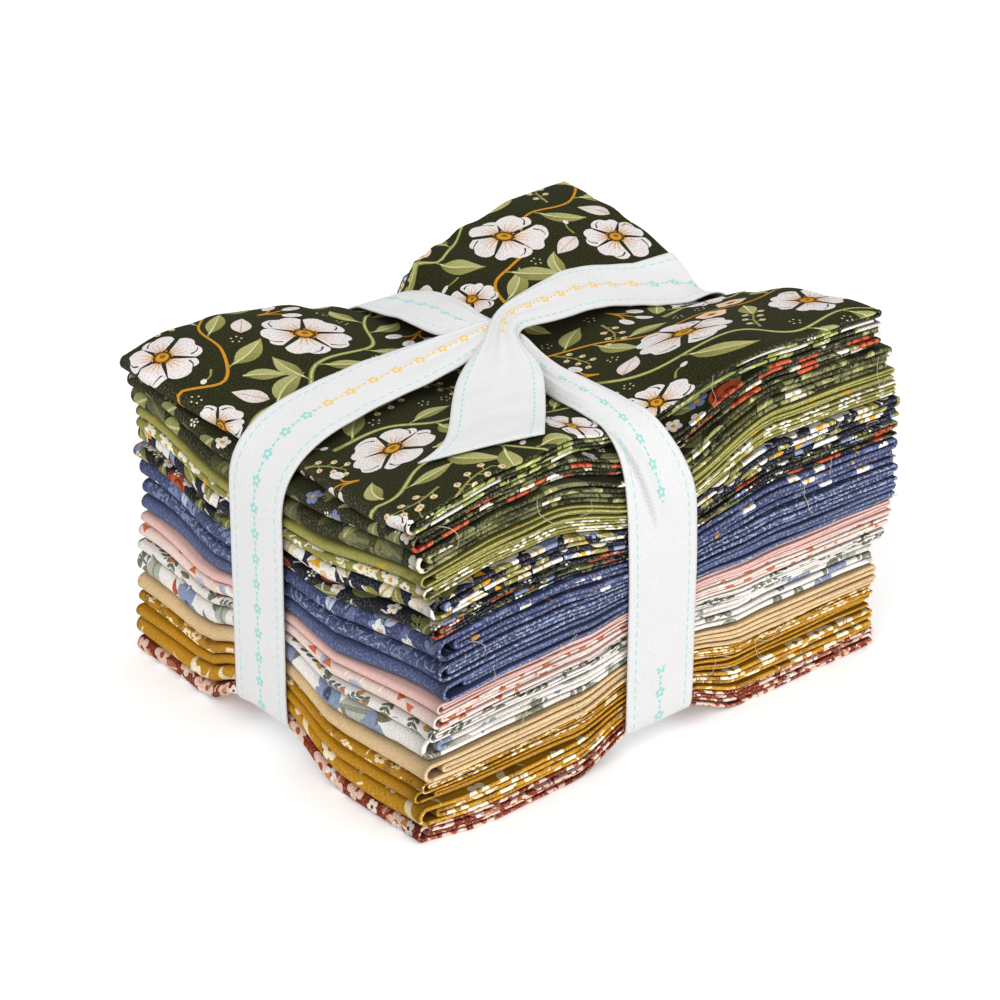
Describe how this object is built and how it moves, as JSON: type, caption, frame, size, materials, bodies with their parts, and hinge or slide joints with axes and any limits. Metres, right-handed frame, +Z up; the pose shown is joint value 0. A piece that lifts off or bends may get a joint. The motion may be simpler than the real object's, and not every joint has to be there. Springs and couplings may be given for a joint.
{
  "type": "fat quarter bundle",
  "caption": "Stack of folded quilting-cotton fat quarters in mixed prints, tied crosswise with a white twill ribbon knotted on top.",
  "frame": {"origin": "centre of the bundle's box, on the surface that it stands on", "axes": "+X along the long side that shows the layers' ends, away from the rounded folds; +Y along the short side; +Z up"},
  "size_m": [0.1474, 0.12, 0.0923],
  "materials": {
    "dark_green_large_floral": "matte printed quilting cotton, plain weave",
    "dark_green_small_floral": "matte printed quilting cotton, plain weave",
    "dark_green_leaves": "matte printed quilting cotton, plain weave",
    "olive_specks": "matte printed quilting cotton, plain weave",
    "olive_small_floral": "matte printed quilting cotton, plain weave",
    "navy_floral": "matte printed quilting cotton, plain weave",
    "black_navy_floral": "matte printed quilting cotton, plain weave",
    "blue_sprigs": "matte printed quilting cotton, plain weave",
    "blue_flecks": "matte printed quilting cotton, plain weave",
    "blue_plain": "matte printed quilting cotton, plain weave",
    "pink_plain": "matte printed quilting cotton, plain weave",
    "blush_specks": "matte printed quilting cotton, plain weave",
    "white_small_floral": "matte printed quilting cotton, plain weave",
    "white_large_floral": "matte printed quilting cotton, plain weave",
    "tan_plain": "matte printed quilting cotton, plain weave",
    "mustard_small_floral": "matte printed quilting cotton, plain weave",
    "mustard_plain": "matte printed quilting cotton, plain weave",
    "mustard_floral": "matte printed quilting cotton, plain weave",
    "rust_floral": "matte printed quilting cotton, plain weave",
    "ribbon_twill": "matte cotton twill tape with a fine printed dashed line along each edge"
  },
  "bodies": {
    "root": {"fq01_green_bloom": "dark_green_large_floral", "fq02_green_roses": "dark_green_small_floral", "fq03_green_leaves": "dark_green_leaves", "fq04_olive_specks": "olive_specks", "fq05_olive_blossom": "olive_small_floral", "fq06_navy_blossom": "navy_floral", "fq07_black_roses": "black_navy_floral", "fq08_blue_sprigs": "blue_sprigs", "fq09_blue_flecks": "blue_flecks", "fq10_blue_plain": "blue_plain", "fq11_pink_plain": "pink_plain", "fq12_blush_petals": "blush_specks", "fq13_white_sprigs": "white_small_floral", "fq14_white_bouquet": "white_large_floral", "fq15_tan_plain": "tan_plain", "fq16_mustard_sprigs": "mustard_small_floral", "fq17_mustard_plain": "mustard_plain", "fq18_mustard_blossom": "mustard_floral", "fq19_rust_blossom": "rust_floral", "ribbon": "ribbon_twill"}
  },
  "joints": []
}
